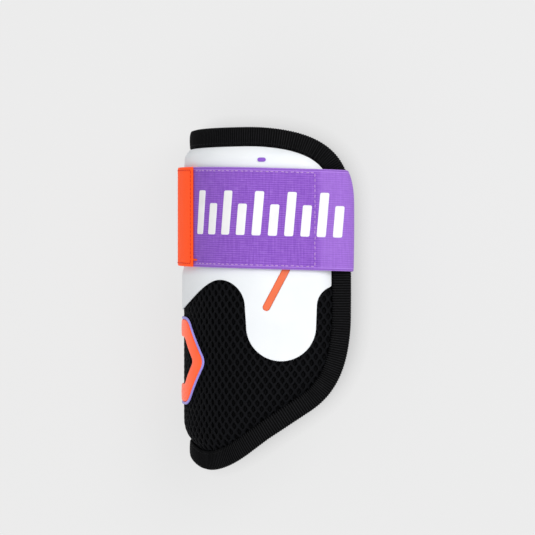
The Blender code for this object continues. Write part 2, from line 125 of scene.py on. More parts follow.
# Heights above the skin
PANEL_TOP = PANEL_GAP + PANEL_THICK
PATCH_LOW = PANEL_TOP - STRAP_PRESS + GAP
STRAP_LOW = PATCH_LOW + PATCH_THICK + GAP
STRAP_MID = STRAP_LOW + STRAP_THICK / 2
STRAP_TOP = STRAP_LOW + STRAP_THICK
TAB_MID = STRAP_TOP + GAP + TAB_THICK / 2
TAB_UNDER_MID = PATCH_LOW + TAB_THICK / 2
BINDING_SEAM = BINDING_WIDTH + GAP
EDGE_MID = -EDGE_DROP - EDGE_CORE / 2

# Fine detail
CURVE_STEPS = 24
EDGE_POINTS = 480
PANEL_GRID = 0.0022
PILL_SPACING = 0.0005
HOLE_PITCH_S = 0.0052
HOLE_PITCH_V = 0.0036
HOLE_HALF_S = 0.00122
HOLE_HALF_V = 0.00222
HOLE_POINTED = 1.45
# Ring of a mesh cell from which its faces take a darker black: painted shade on the holes' lower walls and
# bottoms.
HOLE_SHADE_FROM = 3
HOLE_DEPTH = 0.0022
RIB_PITCH = 0.0016
RIB_HEIGHT = 0.00020
WARP_PITCH = 0.00136
WEFT_PITCH = 0.00090
SELVEDGE = 0.0019
STITCH_LENGTH = 0.0021
STITCH_PITCH = 0.0031
STITCH_RADIUS = 0.00028
STITCH_REACH = 0.3
BINDING_STITCH = (0.0030, 0.0019, 0.00018)
TAB_STITCH = (0.0026, 0.0023, 0.00028)
TACK_STITCH = (0.0010, 0.0018, 0.00062)
MESH_UNDER_TAPE = 0.0024
MESH_UNDER_PANEL = 0.0040
MESH_LIFT = 0.00012
KNIT_HEIGHT = 0.00006
KNIT_PITCH = 0.0012
RIB_THREAD_PITCH = 0.00032
TAPE_UNEVEN = 0.00022
LEATHER_ROUNDING = 0.0003
BAR_ROUNDING = 0.0004
BAR_SUNK = 0.00012
CREASE_DEPTH = 0.0005
CREASE_WIDTH = 0.0008
CREASES_ABOVE_STRAP = (0.0036, 0.0060)
RIPPLE_HEIGHT = 0.0001
MARK_PLACE = (0.0795, 0.1944)
MARK_SIZE = 0.0026
PRINT_ROUNDING = 0.0003
BLACK_SPECULAR = 0.035

# Camera, as the photograph's: millimetres a pixel on the near wall, and the distance to it
PIXEL_SIZE = 0.00062
PHOTO_SIDE = 535
CAMERA_DISTANCE = 1.40
VIEW_S_FROM_CROWN = 0.0536
VIEW_V = 0.1275

FAR_SHOULDER_Z = (CROWN_RADIUS - FAR_SHOULDER_RADIUS) * math.sin(FAR_TURN)
REST_Z = FAR_SHOULDER_Z + FAR_SHOULDER_RADIUS + PANEL_TOP
SHIFT = np.array((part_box("pad_body")[0][0], -HEIGHT / 2, REST_Z))


def wrap(s, v, h):
    """Points at height h above the unrolled skin's places (s, v), as rows of x, y, z."""
    s, v, h = np.broadcast_arrays(np.asarray(s, float), np.asarray(v, float), np.asarray(h, float))
    near = s >= 0
    reach = np.abs(s)
    turn = np.where(near, NEAR_TURN, FAR_TURN)
    shoulder = np.where(near, NEAR_SHOULDER_RADIUS, FAR_SHOULDER_RADIUS)
    crown_length = CROWN_RADIUS * turn
    flat = crown_length + shoulder * (QUARTER_TURN - turn)
    on_crown = reach <= crown_length
    angle = np.minimum(turn + (reach - crown_length) / shoulder, QUARTER_TURN)
    angle = np.where(on_crown, reach / CROWN_RADIUS, angle)
    radius = np.where(on_crown, CROWN_RADIUS, shoulder)
    centre_x = np.where(on_crown, CROWN_RADIUS, CROWN_RADIUS - (CROWN_RADIUS - shoulder) * np.cos(turn))
    centre_z = np.where(on_crown, 0.0, (CROWN_RADIUS - shoulder) * np.sin(turn))
    x = centre_x - (radius + h) * np.cos(angle) + np.maximum(reach - flat, 0)
    z = centre_z + (radius + h) * np.sin(angle)
    return np.column_stack((x.ravel(), v.ravel(), np.where(near, z, -z).ravel())) + SHIFT


def flat_start(turn, shoulder):
    """Distance from the crown line to where a wall becomes flat."""
    return CROWN_RADIUS * turn + shoulder * (QUARTER_TURN - turn)


def bezier(shares):
    """Points of one curve whose knots and handles are shares of WRAP_HALF and HEIGHT."""
    knots = [Vector((a * WRAP_HALF, b * HEIGHT, 0)) for a, b in shares]
    return [(p.x, p.y) for p in interpolate_bezier(*knots, CURVE_STEPS)]


def arc(centre, radius, start, end, steps=CURVE_STEPS):
    """Points of an arc about a place given as shares; start and end are in degrees."""
    angles = np.radians(np.linspace(start, end, steps + 1))
    cs, cv = centre[0] * WRAP_HALF, centre[1] * HEIGHT
    return [(cs + radius * math.cos(a), cv + radius * math.sin(a)) for a in angles]


def mirrored(half):
    """Closed outline from the half with s >= 0."""
    return half + [(-s, v) for s, v in reversed(half) if s > 1e-6]


def resampled(points, count):
    """Points at equal distances along a closed outline."""
    line = np.array(list(points) + list(points[:1]), float)
    run = run_along(line)
    at = np.arange(count) / count * run[-1]
    return np.column_stack([np.interp(at, run, values) for values in line.T])


def run_along(line):
    """Distance along a line to each of its points."""
    return np.concatenate(([0], np.cumsum(np.linalg.norm(np.diff(line, axis=0), axis=1))))


def length_of(points):
    """Length of a closed outline."""
    return float(np.linalg.norm(points - np.roll(points, -1, axis=0), axis=1).sum())


def inward_normals(loop):
    """Unit normals of a clockwise outline, pointing in."""
    along = np.roll(loop, -1, axis=0) - np.roll(loop, 1, axis=0)
    normal = np.column_stack((along[:, 1], -along[:, 0]))
    return normal / np.linalg.norm(normal, axis=1)[:, None]


def distance_to(loops, places):
    """Shortest distance from each place to any of the outlines."""
    best = np.full(len(places), np.inf)
    for loop in loops:
        step = np.roll(loop, -1, axis=0) - loop
        size = (step * step).sum(axis=1)
        for low in range(0, len(places), 2000):
            part = places[low:low + 2000]
            offset = part[:, None, :] - loop[None, :, :]
            share = np.clip((offset * step).sum(axis=2) / size, 0, 1)
            gap = np.linalg.norm(offset - step * share[:, :, None], axis=2).min(axis=1)
            best[low:low + 2000] = np.minimum(best[low:low + 2000], gap)
    return best


def inside(loop, places):
    """Which places lie inside an outline."""
    x, y = places[:, 0], places[:, 1]
    hit = np.zeros(len(places), bool)
    for (x0, y0), (x1, y1) in zip(loop, np.roll(loop, -1, axis=0)):
        if y0 == y1:
            continue
        crosses = (y0 > y) != (y1 > y)
        hit ^= crosses & (x < x0 + (y - y0) * (x1 - x0) / (y1 - y0))
    return hit


def covered(loops, places):
    """Which places lie inside the first outline and outside the others."""
    keep = inside(loops[0], places)
    for loop in loops[1:]:
        keep &= ~inside(loop, places)
    return keep


def smooth_step(x):
    """0 to 1 with level ends."""
    x = np.clip(x, 0, 1)
    return x * x * (3 - 2 * x)


def guard_edge():
    """The guard's outline on the unrolled skin, from the crown's top clockwise."""
    half = [(0.0, HEIGHT)]
    for shares in OUTLINE_CURVES:
        half += bezier(shares)
    return resampled(mirrored(half), EDGE_POINTS)


EDGE = guard_edge()
EDGE_INWARD = inward_normals(EDGE)


def side_edge_s(v):
    """Where the near side's edge runs at height v."""
    right = EDGE[EDGE[:, 0] > WRAP_HALF / 2]
    order = np.argsort(right[:, 1])
    return np.interp(v, right[order, 1], right[order, 0])


def strap_centre(s):
    """Height of the strap's centre line."""
    return STRAP_PLACE_V * HEIGHT - math.tan(STRAP_LEAN) * s


def strap_run(s):
    """Run along the strap above a place s on the skin."""
    start = TAB_START + TAB_HEM
    curved = min(s, flat_start(NEAR_TURN, NEAR_SHOULDER_RADIUS)) - start
    return s + STRAP_MID / CROWN_RADIUS * curved


def skin(s, v):
    """Height of the padding: it falls to the binding and is pressed in under the strap."""
    places = np.column_stack((np.ravel(s), np.ravel(v)))
    share = np.clip((distance_to([EDGE], places) - BINDING_SEAM) / PUFF_WIDTH, 0, 1)
    fall = EDGE_DROP * (1 - share) ** 3
    outside = (np.abs(places[:, 1] - strap_centre(places[:, 0])) - STRAP_WIDTH / 2) / STRAP_PRESS_FADE
    across = 1 - smooth_step(outside)
    along = smooth_step((places[:, 0] - TAB_START) / STRAP_PRESS_START + 1)
    return -fall - STRAP_PRESS * across * along * np.minimum(1.0, share / PRESS_ROOM)


def add_object(name, data):
    """A new object, linked into the scene."""
    made = bpy.data.objects.new(name, data)
    bpy.context.scene.collection.objects.link(made)
    return made


def add_mesh(name, points, faces, cloth=None, smooth=True):
    """A mesh object; cloth gives each point's place on the flat cloth in metres, kept as a UV map."""
    mesh = bpy.data.meshes.new(name)
    mesh.from_pydata(np.asarray(points).tolist(), [], [list(map(int, f)) for f in faces])
    if smooth:
        mesh.shade_smooth()
    if cloth is not None:
        corner = np.empty(len(mesh.loops), np.int64)
        mesh.loops.foreach_get("vertex_index", corner)
        layer = mesh.uv_layers.new(name="cloth")
        layer.data.foreach_set("uv", np.asarray(cloth, np.float32)[corner].ravel())
    mesh.validate()
    return add_object(name, mesh)


def grid_faces(rows, columns, close_rows=False, close_columns=False, start=0):
    """Quads of a grid of points kept row by row."""
    i = np.arange(rows if close_rows else rows - 1)[:, None]
    j = np.arange(columns if close_columns else columns - 1)[None, :]
    i2, j2 = (i + 1) % rows, (j + 1) % columns
    corners = [i * columns + j, i * columns + j2, i2 * columns + j2, i2 * columns + j]
    faces = np.stack([np.broadcast_to(c, (i.size, j.size)).ravel() for c in corners], axis=1)
    return (faces + start).tolist()


def copied_faces(faces, copies, points_each):
    """The same faces for each of several copies of a piece."""
    return [[i + n * points_each for i in face] for n in range(copies) for face in faces]


def settle(piece, node_names, slot, *materials):
    """Gives a piece its materials and its body and hides the nodes that it stands for; slot, its finish, is
    not used.
    """
    for material in materials:
        piece.data.materials.append(material)
    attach(piece, "root")
    if node_names:
        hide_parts(*node_names)
    return piece


def inlay_points(loops, spacing, rounding, row_shares):
    """Places of a flat piece's points: its outlines, rows close inside them and a staggered grid."""
    edges, close = [], []
    count = 0
    for k, loop in enumerate(loops):
        edges += [(count + i, count + (i + 1) % len(loop)) for i in range(len(loop))]
        count += len(loop)
        normal = inward_normals(loop) * (1 if k == 0 else -1)
        close += [loop + normal * rounding * share for share in row_shares]
    close = np.concatenate(close)
    close = close[covered(loops, close) & (distance_to(loops, close) > rounding * 0.1)]
    low, high = loops[0].min(axis=0), loops[0].max(axis=0)
    grid = []
    for row, v in enumerate(np.arange(low[1], high[1], spacing * 0.866)):
        s = np.arange(low[0] + spacing / 2 * (row % 2), high[0], spacing)
        grid.append(np.column_stack((s, np.full(len(s), v))))
    grid = np.concatenate(grid)
    grid = grid[covered(loops, grid)]
    grid = grid[distance_to(loops, grid) > rounding + spacing * 0.45]
    return np.concatenate(loops + [close, grid]), edges


def inlay(name, loops, spacing, rounding, shape, row_shares=(0.12, 0.4, 1.0)):
    """A flat piece with rounded edges; shape(s, v, distance from the edge) gives its two faces' points."""
    places, edges = inlay_points(loops, spacing, rounding, row_shares)
    made = delaunay_2d_cdt([Vector(p) for p in places], edges, [], 0, 1e-7)
    places, triangles = np.array([tuple(p) for p in made[0]]), np.array(made[2])
    triangles = triangles[covered(loops, places[triangles].mean(axis=1))]
    distance = distance_to(loops, places)
    on_edge = distance < 1e-6
    low, high = shape(*places.T, distance)
    lower_index = np.arange(len(places)) + len(places)
    lower_index[on_edge] = np.flatnonzero(on_edge)
    points = np.concatenate((high, low))
    faces = np.concatenate((triangles, lower_index[triangles][:, ::-1]))
    used = np.zeros(len(points), bool)
    used[faces] = True
    faces = (np.cumsum(used) - 1)[faces]
    return add_mesh(name, points[used], faces, np.tile(places, (2, 1))[used])


def rounded(distance, rounding):
    """Share of the full height at a distance from a rounded edge."""
    share = np.clip(distance / rounding, 0, 1)
    return np.sqrt(np.maximum(1 - (1 - share) ** 2, 0))


def laid_shape(low, high, rounding, crown=0.0, reach=1.0):
    """Shape of a flat piece that lies round the skin between two heights, with an optional dome."""
    def shape(s, v, distance):
        base = skin(s, v)
        dome = crown * rounded(distance, reach)
        middle = low + (high - low) * 0.35
        top = middle + (high - middle) * rounded(distance, rounding) + dome
        under = middle - (middle - low) * rounded(distance, rounding)
        return wrap(s, v, base + under), wrap(s, v, base + top)
    return shape


def pill(place, length, width, lean, steps=12):
    """Clockwise outline of a bar with round ends; place is the centre of its lower end."""
    along = np.array((math.sin(lean), math.cos(lean)))
    across = np.array((along[1], -along[0]))
    points = []
    for end, start in ((np.array(place), 0), (np.array(place) + along * length, 180)):
        for i in range(steps + 1):
            a = math.radians(start + 180 * i / steps)
            points.append(end + (across * math.cos(a) - along * math.sin(a)) * width / 2)
    return resampled(points, round(2 * (length + width) / PILL_SPACING))


def signed_area(loop):
    """Area inside an outline, below zero where it runs clockwise."""
    x, y = loop[:, 0], loop[:, 1]
    return float((x * np.roll(y, -1) - y * np.roll(x, -1)).sum()) / 2


def clockwise(loop):
    """The outline, turned so that it runs clockwise."""
    loop = np.asarray(loop, float)
    return loop[::-1] if signed_area(loop) > 0 else loop


def panel_outline():
    """The leather panel: the binding's seam above and at the sides, a wave below."""
    border = EDGE + EDGE_INWARD * (BINDING_SEAM + GAP)
    wave = bezier(WAVE_CROWN)[:-1]
    wave += arc(WAVE_MESH_LOBE, WAVE_MESH_LOBE_RADIUS * WRAP_HALF, 90, 0)
    wave += arc(WAVE_LEATHER_LOBE, WAVE_LEATHER_LOBE_RADIUS * WRAP_HALF, 180, 360, 2 * CURVE_STEPS)
    wave += arc(WAVE_SIDE_LOBE, WAVE_SIDE_LOBE_RADIUS * WRAP_HALF, 180, 90)
    side = wave[-1][1]
    upper = [tuple(p) for p in border if p[0] > 1e-6 and p[1] > side + 1e-4]
    wave = [p for p in wave if p[0] < upper[-1][0] - GAP]
    half = [(0.0, float(border[:, 1].max()))] + upper + [(upper[-1][0], side)] + list(reversed(wave))
    return clockwise(resampled(mirrored(half), 520))


PANEL = panel_outline()


def nodes_of(name):
    """A new material, its node tree and its Principled shader."""
    material = bpy.data.materials.new(name)
    material.use_nodes = True
    tree = material.node_tree
    return material, tree, tree.nodes["Principled BSDF"]


def set_inputs(tree, made, inputs):
    """Links a node's inputs to sockets, or sets them."""
    for key, value in inputs.items():
        if isinstance(value, bpy.types.NodeSocket):
            tree.links.new(value, made.inputs[key])
        else:
            made.inputs[key].default_value = value


def node(tree, kind, inputs=None, **settings):
    """Adds a node and gives it its properties and inputs."""
    made = tree.nodes.new(kind)
    for key, value in settings.items():
        setattr(made, key, value)
    set_inputs(tree, made, inputs or {})
    return made


def calc(tree, operation, first, second=0.0):
    """A Math node's result."""
    return node(tree, "ShaderNodeMath", {0: first, 1: second}, operation=operation).outputs[0]


def ramp(tree, factor, low, high, first=0.0, second=1.0):
    """Maps a socket's range onto another."""
    inputs = {"Value": factor, "From Min": low, "From Max": high, "To Min": first, "To Max": second}
    return node(tree, "ShaderNodeMapRange", inputs).outputs[0]


def mix_colour(tree, factor, first, second):
    """Mixes two colours, each a socket or three numbers, by a factor socket."""
    first, second = (c if isinstance(c, bpy.types.NodeSocket) else (*c, 1) for c in (first, second))
    return node(tree, "ShaderNodeMix", {0: factor, 6: first, 7: second}, data_type="RGBA").outputs[2]


def object_place(tree, scale):
    """The place in the object's own coordinates, scaled."""
    where = node(tree, "ShaderNodeTexCoord")
    mapping = node(tree, "ShaderNodeMapping", {"Vector": where.outputs["Object"], "Scale": (scale,) * 3})
    return mapping.outputs[0]


def cloth_place(tree, scale_u, scale_v):
    """The place on the flat cloth, scaled."""
    uv = node(tree, "ShaderNodeUVMap", uv_map="cloth")
    mapping = node(tree, "ShaderNodeMapping", {"Vector": uv.outputs[0], "Scale": (scale_u, scale_v, 1.0)})
    return mapping.outputs[0]


def cloth_run_and_across(tree):
    """The distance along the cloth and across it, in metres."""
    uv = node(tree, "ShaderNodeUVMap", uv_map="cloth")
    parts = node(tree, "ShaderNodeSeparateXYZ", {0: uv.outputs[0]})
    return parts.outputs[0], parts.outputs[1]


def noise(tree, place, detail, roughness=0.5):
    """A noise texture's result at a scaled place."""
    inputs = {"Vector": place, "Scale": 1.0, "Detail": detail, "Roughness": roughness}
    return node(tree, "ShaderNodeTexNoise", inputs).outputs[0]


def ribs_of(tree, distance, pitch):
    """1 on each rib's top and 0 between ribs."""
    turn = calc(tree, "COSINE", calc(tree, "MULTIPLY", distance, 2 * math.pi / pitch))
    return ramp(tree, turn, -1.0, 1.0)


def bump(tree, shader, height, strength, distance, normal=None):
    """Adds a bump in front of the shader, after another one where it is given."""
    inputs = {"Height": height, "Strength": strength, "Distance": distance}
    if normal is not None:
        inputs["Normal"] = normal
    made = node(tree, "ShaderNodeBump", inputs)
    tree.links.new(made.outputs[0], shader.inputs["Normal"])
    return made.outputs[0]


def leather_material():
    """Fine-grained white synthetic leather."""
    material, tree, shader = nodes_of("white leather")
    grain = node(tree, "ShaderNodeTexVoronoi", {"Vector": object_place(tree, 1300.0), "Scale": 1.0},
                 feature="SMOOTH_F1")
    pores = noise(tree, object_place(tree, 420.0), 4.0)
    tone = ramp(tree, noise(tree, object_place(tree, 30.0), 2.0), 0.3, 0.7)
    set_inputs(tree, shader, {
        "Base Color": mix_colour(tree, tone, (0.80, 0.83, 0.86), (0.86, 0.88, 0.90)),
        "Roughness": ramp(tree, pores, 0.3, 0.7, 0.42, 0.56),
        "Specular IOR Level": 0.40,
    })
    first = bump(tree, shader, grain.outputs[0], 0.22, 0.00012)
    bump(tree, shader, pores, 0.18, 0.0002, first)
    return material


def black_fabric(name, colour, place_scale, strength):
    """Black knitted fabric with a fine yarn bump."""
    material, tree, shader = nodes_of(name)
    yarn = noise(tree, object_place(tree, place_scale), 5.0)
    lighter = tuple(c * 2.0 for c in colour)
    set_inputs(tree, shader, {
        "Base Color": mix_colour(tree, ramp(tree, yarn, 0.35, 0.70), colour, lighter),
        "Roughness": 0.60,
        "Specular IOR Level": BLACK_SPECULAR,
    })
    bump(tree, shader, yarn, strength, 0.0003)
    return material


def grosgrain_material(rib_pitch):
    """Black ribbed tape with fine threads along each rib; its colour is lighter on the ribs' crests, a
    painted highlight.
    """
    material, tree, shader = nodes_of("black grosgrain")
    run, across = cloth_run_and_across(tree)
    # Painted highlight: the colour goes lighter on each rib's crest.
    rib_highlight = calc(tree, "POWER", ribs_of(tree, run, rib_pitch), 2.8)
    yarn = noise(tree, object_place(tree, 900.0), 3.0)
    tone = calc(tree, "MULTIPLY", rib_highlight, ramp(tree, yarn, 0.2, 0.7, 0.4, 1.0))
    set_inputs(tree, shader, {
        "Base Color": mix_colour(tree, tone, (0.0012, 0.0012, 0.0014), (0.0155, 0.0155, 0.0172)),
        "Roughness": 0.55,
        "Specular IOR Level": BLACK_SPECULAR,
    })
    first = bump(tree, shader, ribs_of(tree, across, RIB_THREAD_PITCH), 0.25, 0.00008)
    bump(tree, shader, yarn, 0.2, 0.0002, first)
    return material


def elastic_material(name, colour, deep, light, lighter_from):
    """Woven elastic: warp ribs along it, weft across, plain selvedges, a thin painted shade line near each
    edge, and lighter past the hook patch's end.
    """
    material, tree, shader = nodes_of(name)
    run, across = cloth_run_and_across(tree)
    warp = calc(tree, "MULTIPLY", ribs_of(tree, across, WARP_PITCH), 0.52)
    weft = calc(tree, "MULTIPLY", ribs_of(tree, run, WEFT_PITCH), 0.48)
    woven = calc(tree, "ADD", warp, weft)
    slub = noise(tree, cloth_place(tree, 170.0, 1500.0), 4.0, 0.7)
    streak = noise(tree, cloth_place(tree, 1100.0, 90.0), 3.0)
    from_edge = calc(tree, "SUBTRACT", STRAP_WIDTH / 2, calc(tree, "ABSOLUTE", across))
    # A thin dark line near each edge: painted shade, as if a groove ran there.
    shade_line_out, shade_line_in = ramp(tree, from_edge, 0.0005, 0.0008), ramp(tree, from_edge, 0.0014, 0.0011)
    layers = (
        # factor, colour that it mixes in
        (ramp(tree, slub, 0.50, 0.78, 0.0, 0.62), light),
        (ramp(tree, streak, 0.42, 0.70, 0.0, 0.58), deep),
        # Lighter past the hook patch's end.
        (ramp(tree, run, lighter_from, lighter_from + 0.004, 0.0, 0.30), light),
        (ramp(tree, from_edge, SELVEDGE + 0.0002, SELVEDGE, 0.0, 0.50), light),
        # Painted shade: the thin dark line near each edge.
        (calc(tree, "MULTIPLY", calc(tree, "MULTIPLY", shade_line_out, shade_line_in), 0.80), deep),
    )
    tone = mix_colour(tree, ramp(tree, woven, 0.15, 0.75), deep, colour)
    for factor, mixed_in in layers:
        tone = mix_colour(tree, factor, tone, mixed_in)
    set_inputs(tree, shader, {
        "Base Color": tone,
        "Roughness": 0.72,
        "Specular IOR Level": 0.20,
        "Sheen Weight": 0.08,
        "Sheen Roughness": 0.45,
    })
    first = bump(tree, shader, woven, 0.60, 0.00025)
    bump(tree, shader, slub, 0.45, 0.0003, first)
    return material


def tape_material(name, colour, deep, painted_glow=0.0):
    """Tightly woven tape, with an emission whose strength the last argument gives: painted light that stands
    in for a fluorescent dye.
    """
    material, tree, shader = nodes_of(name)
    run, across = cloth_run_and_across(tree)
    woven = calc(tree, "MULTIPLY", ribs_of(tree, run, 0.0007), ribs_of(tree, across, 0.0006))
    yarn = noise(tree, object_place(tree, 700.0), 3.0)
    weave_tone, yarn_tone = ramp(tree, woven, 0.0, 0.5, 0.4, 1.0), ramp(tree, yarn, 0.25, 0.6, 0.6, 1.0)
    set_inputs(tree, shader, {
        "Base Color": mix_colour(tree, calc(tree, "MULTIPLY", weave_tone, yarn_tone), deep, colour),
        "Emission Color": (*colour, 1),
        "Emission Strength": painted_glow,
        "Roughness": 0.66,
        "Specular IOR Level": 0.15,
    })
    bump(tree, shader, woven, 0.35, 0.00015)
    return material


def moulded_material(name, colour, roughness, painted_glow=0.0):
    """Moulded rubber with a very fine unevenness, and an emission whose strength the last argument gives:
    painted light that stands in for a fluorescent dye.
    """
    material, tree, shader = nodes_of(name)
    uneven = noise(tree, object_place(tree, 700.0), 3.0)
    broad = noise(tree, object_place(tree, 60.0), 2.0)
    darker = tuple(c * 0.92 for c in colour)
    set_inputs(tree, shader, {
        "Base Color": mix_colour(tree, ramp(tree, broad, 0.35, 0.65), darker, colour),
        "Roughness": ramp(tree, uneven, 0.3, 0.7, roughness - 0.05, roughness + 0.07),
        "Emission Color": (*colour, 1),
        "Emission Strength": painted_glow,
        "Specular IOR Level": 0.40,
    })
    bump(tree, shader, uneven, 0.12, 0.0001)
    return material


def thread_material(name, colour):
    """Sewing thread."""
    material, tree, shader = nodes_of(name)
    wave = {"Vector": object_place(tree, 2500.0), "Scale": 1.0, "Distortion": 2.0}
    twist = node(tree, "ShaderNodeTexWave", wave, bands_direction="DIAGONAL")
    darker = tuple(c * 0.75 for c in colour)
    set_inputs(tree, shader, {
        "Base Color": mix_colour(tree, twist.outputs[0], darker, colour),
        "Roughness": 0.5,
        "Specular IOR Level": 0.12,
    })
    return material


# The orange parts' emission is painted light that keeps them bright under any lamp, standing in for a
# fluorescent dye.
ORANGE = (1.0, 0.095, 0.010)
ORANGE_PAINTED_GLOW = 0.28
MESH_BLACK = black_fabric("black spacer mesh", (0.0038, 0.0039, 0.0047), 1300.0, 0.5)
# Darker black for the holes' lower walls and bottoms: painted shade.
HOLE_SHADE_BLACK = black_fabric("black in the holes with painted shade", (0.0026, 0.0026, 0.0030), 1300.0, 0.5)
LINING_BLACK = black_fabric("black lining", (0.0060, 0.0060, 0.0070), 900.0, 0.6)
LEATHER = leather_material()
ELASTIC = elastic_material("purple elastic", (0.325, 0.128, 0.645), (0.185, 0.060, 0.44), (0.48, 0.255, 0.80),
                           strap_run(PATCH_END_S * WRAP_HALF))
ORANGE_TAPE = tape_material("orange tape", ORANGE, (0.82, 0.060, 0.012), ORANGE_PAINTED_GLOW)
HOOK_TAPE = tape_material("purple hook tape", (0.16, 0.07, 0.34), (0.08, 0.03, 0.20))
ORANGE_RUBBER = moulded_material("orange rubber", (1.0, 0.105, 0.020), 0.36, ORANGE_PAINTED_GLOW)
LILAC_RUBBER = moulded_material("lilac rubber", (0.36, 0.31, 0.84), 0.38)
PURPLE_RUBBER = moulded_material("purple rubber", (0.26, 0.09, 0.60), 0.42)
WHITE_PRINT = moulded_material("white print", (0.90, 0.90, 0.91), 0.50)
# The bars' rubber has a weaker emission of the same kind: painted light.
BAR_RUBBER = moulded_material("pale orange rubber", (0.78, 0.142, 0.048), 0.40, 0.11)
LILAC_THREAD = thread_material("lilac thread", (0.60, 0.37, 0.76))
DEEP_ORANGE_THREAD = thread_material("deep orange thread", (0.80, 0.035, 0.006))
ORANGE_THREAD = thread_material("orange thread", (1.0, 0.11, 0.015))
BLACK_THREAD = thread_material("black thread", (0.0055, 0.0055, 0.0062))


def pad_shell():
    """Foam shell under the mesh and the leather, with the lining inside the hollow."""
    seam_rows = [BINDING_SEAM + PUFF_WIDTH * a for a in (0.0, 0.04, 0.1, 0.18, 0.28, 0.4, 0.55, 0.75, 1.0)]
    loop = EDGE[::2]
    normal = inward_normals(loop)
    last = loop + normal * seam_rows[-1]
    centre = np.array((0.0, HEIGHT * 0.53))
    inner = [centre + (last - centre) * k for k in np.linspace(0.94, 0.06, 26)]
    outer_rings = [loop + normal * (BINDING_NOSE + GAP)] + [loop + normal * d for d in seam_rows] + inner
    under_skin = HOLE_DEPTH + 0.0002
    rings = []
    for places in reversed(outer_rings):
        rings.append((places, skin(*places.T) - under_skin))
    edge_depth = EDGE_DROP + EDGE_CORE
    for places in outer_rings:
        share = (distance_to([EDGE], places) - BINDING_SEAM) / (PUFF_WIDTH * 0.6)
        rings.append((places, -edge_depth - (PAD_THICK - edge_depth) * smooth_step(share)))
    points = np.concatenate([wrap(*p.T, h) for p, h in rings])
    cloth = np.concatenate([p for p, h in rings])
    count = len(loop)
    faces = grid_faces(len(rings), count, close_columns=True)
    middle_heights = (skin(*centre) - under_skin, -PAD_THICK)
    points = np.concatenate([points] + [wrap(*centre, height) for height in middle_heights])
    cloth = np.concatenate((cloth, [centre, centre]))
    first, second = len(points) - 2, len(points) - 1
    last_row = (len(rings) - 1) * count
    faces += [[first, (i + 1) % count, i] for i in range(count)]
    faces += [[second, last_row + i, last_row + (i + 1) % count] for i in range(count)]
    piece = add_mesh("pad_shell", points, faces, cloth)
    piece.data.flip_normals()
    return settle(piece, ["pad_body"], "black_mesh", LINING_BLACK)


def hole_cell():
    """One cell of the spacer mesh: rings from the strand's middle down into the hole."""
    half_s = HOLE_PITCH_S / 2
    corner_v = (HOLE_PITCH_V ** 2 - half_s ** 2) / (2 * HOLE_PITCH_V)
    tip_v = (HOLE_PITCH_V ** 2 + half_s ** 2) / (2 * HOLE_PITCH_V)
    corners = [
        (half_s, corner_v), (half_s, -corner_v), (0, -tip_v),
        (-half_s, -corner_v), (-half_s, corner_v), (0, tip_v),
    ]
    rim = []
    for a, b in zip(corners, corners[1:] + corners[:1]):
        rim += [a, ((a[0] + b[0]) / 2, (a[1] + b[1]) / 2)]
    rim = np.array(rim)
    angle = np.arctan2(rim[:, 1] / HOLE_HALF_V, rim[:, 0] / HOLE_HALF_S)
    cos, sin = np.cos(angle), np.sin(angle)
    reach = (np.abs(cos) ** HOLE_POINTED + np.abs(sin) ** HOLE_POINTED) ** (-1 / HOLE_POINTED)
    oval = np.column_stack((HOLE_HALF_S * cos * reach, HOLE_HALF_V * sin * reach))
    rows = (
        # share of the way from the strand's middle to the hole's wall, share of the hole's depth
        (0.00, 0.00),
        (0.45, 0.03),
        (0.80, 0.13),
        (0.97, 0.32),
        (1.02, 0.65),
        (1.02, 1.00),
    )
    return [(rim + (oval - rim) * share, -depth * HOLE_DEPTH) for share, depth in rows]


def spacer_mesh():
    """Staggered open holes between knitted strands, over all of the pad that the leather leaves bare."""
    rows = int(HEIGHT / HOLE_PITCH_V) + 1
    columns = int(WRAP_HALF / HOLE_PITCH_S) + 1
    centres = []
    for row in range(rows):
        for column in range(-columns, columns + 1):
            centres.append(((column + 0.5 * (row % 2)) * HOLE_PITCH_S, row * HOLE_PITCH_V))
    centres = np.array(centres)
    keep = inside(EDGE, centres) & (distance_to([EDGE], centres) > BINDING_SEAM - MESH_UNDER_TAPE)
    under_panel = inside(PANEL, centres) & (distance_to([PANEL], centres) > MESH_UNDER_PANEL)
    centres = centres[keep & ~under_panel]
    cell = hole_cell()
    ring_count = len(cell)
    side_count = len(cell[0][0])
    flat = np.concatenate([ring for ring, height in cell])
    depth = np.repeat([height for ring, height in cell], side_count)
    places = (centres[:, None, :] + flat[None, :, :]).reshape(-1, 2)
    depths = np.tile(depth, len(centres))
    one = grid_faces(ring_count, side_count, close_columns=True)
    bottom = [list(range((ring_count - 1) * side_count, ring_count * side_count))]
    # Faces deep in each hole take the darker black, a painted shade.
    deep = [int(min(face) >= HOLE_SHADE_FROM * side_count) for face in one + bottom]
    faces = copied_faces(one + bottom, len(centres), ring_count * side_count)
    key = np.round(np.column_stack((places, depths)) * 1e7).astype(np.int64)
    _, first, inverse = np.unique(key, axis=0, return_index=True, return_inverse=True)
    inverse = inverse.ravel()
    places, depths = places[first], depths[first]
    faces = [[inverse[i] for i in face] for face in faces]
    lift = MESH_LIFT + KNIT_HEIGHT * np.sin(places[:, 1] * 2 * math.pi / KNIT_PITCH)
    points = wrap(*places.T, skin(*places.T) + depths + lift)
    piece = add_mesh("pad_mesh", points, faces, places)
    settle(piece, ["pad_body"], "black_mesh", MESH_BLACK, HOLE_SHADE_BLACK)
    piece.data.polygons.foreach_set("material_index", deep * len(centres))
    return piece


def wobble(run, total, size, seed):
    """A gentle unevenness that closes on itself along a loop."""
    turn = 2 * math.pi * run / total
    waves = ((3, 0.5, 1.3), (7, 0.3, 0.4), (12, 0.2, 2.1))
    return size * sum(a * np.sin(k * turn + p + seed) for k, a, p in waves)


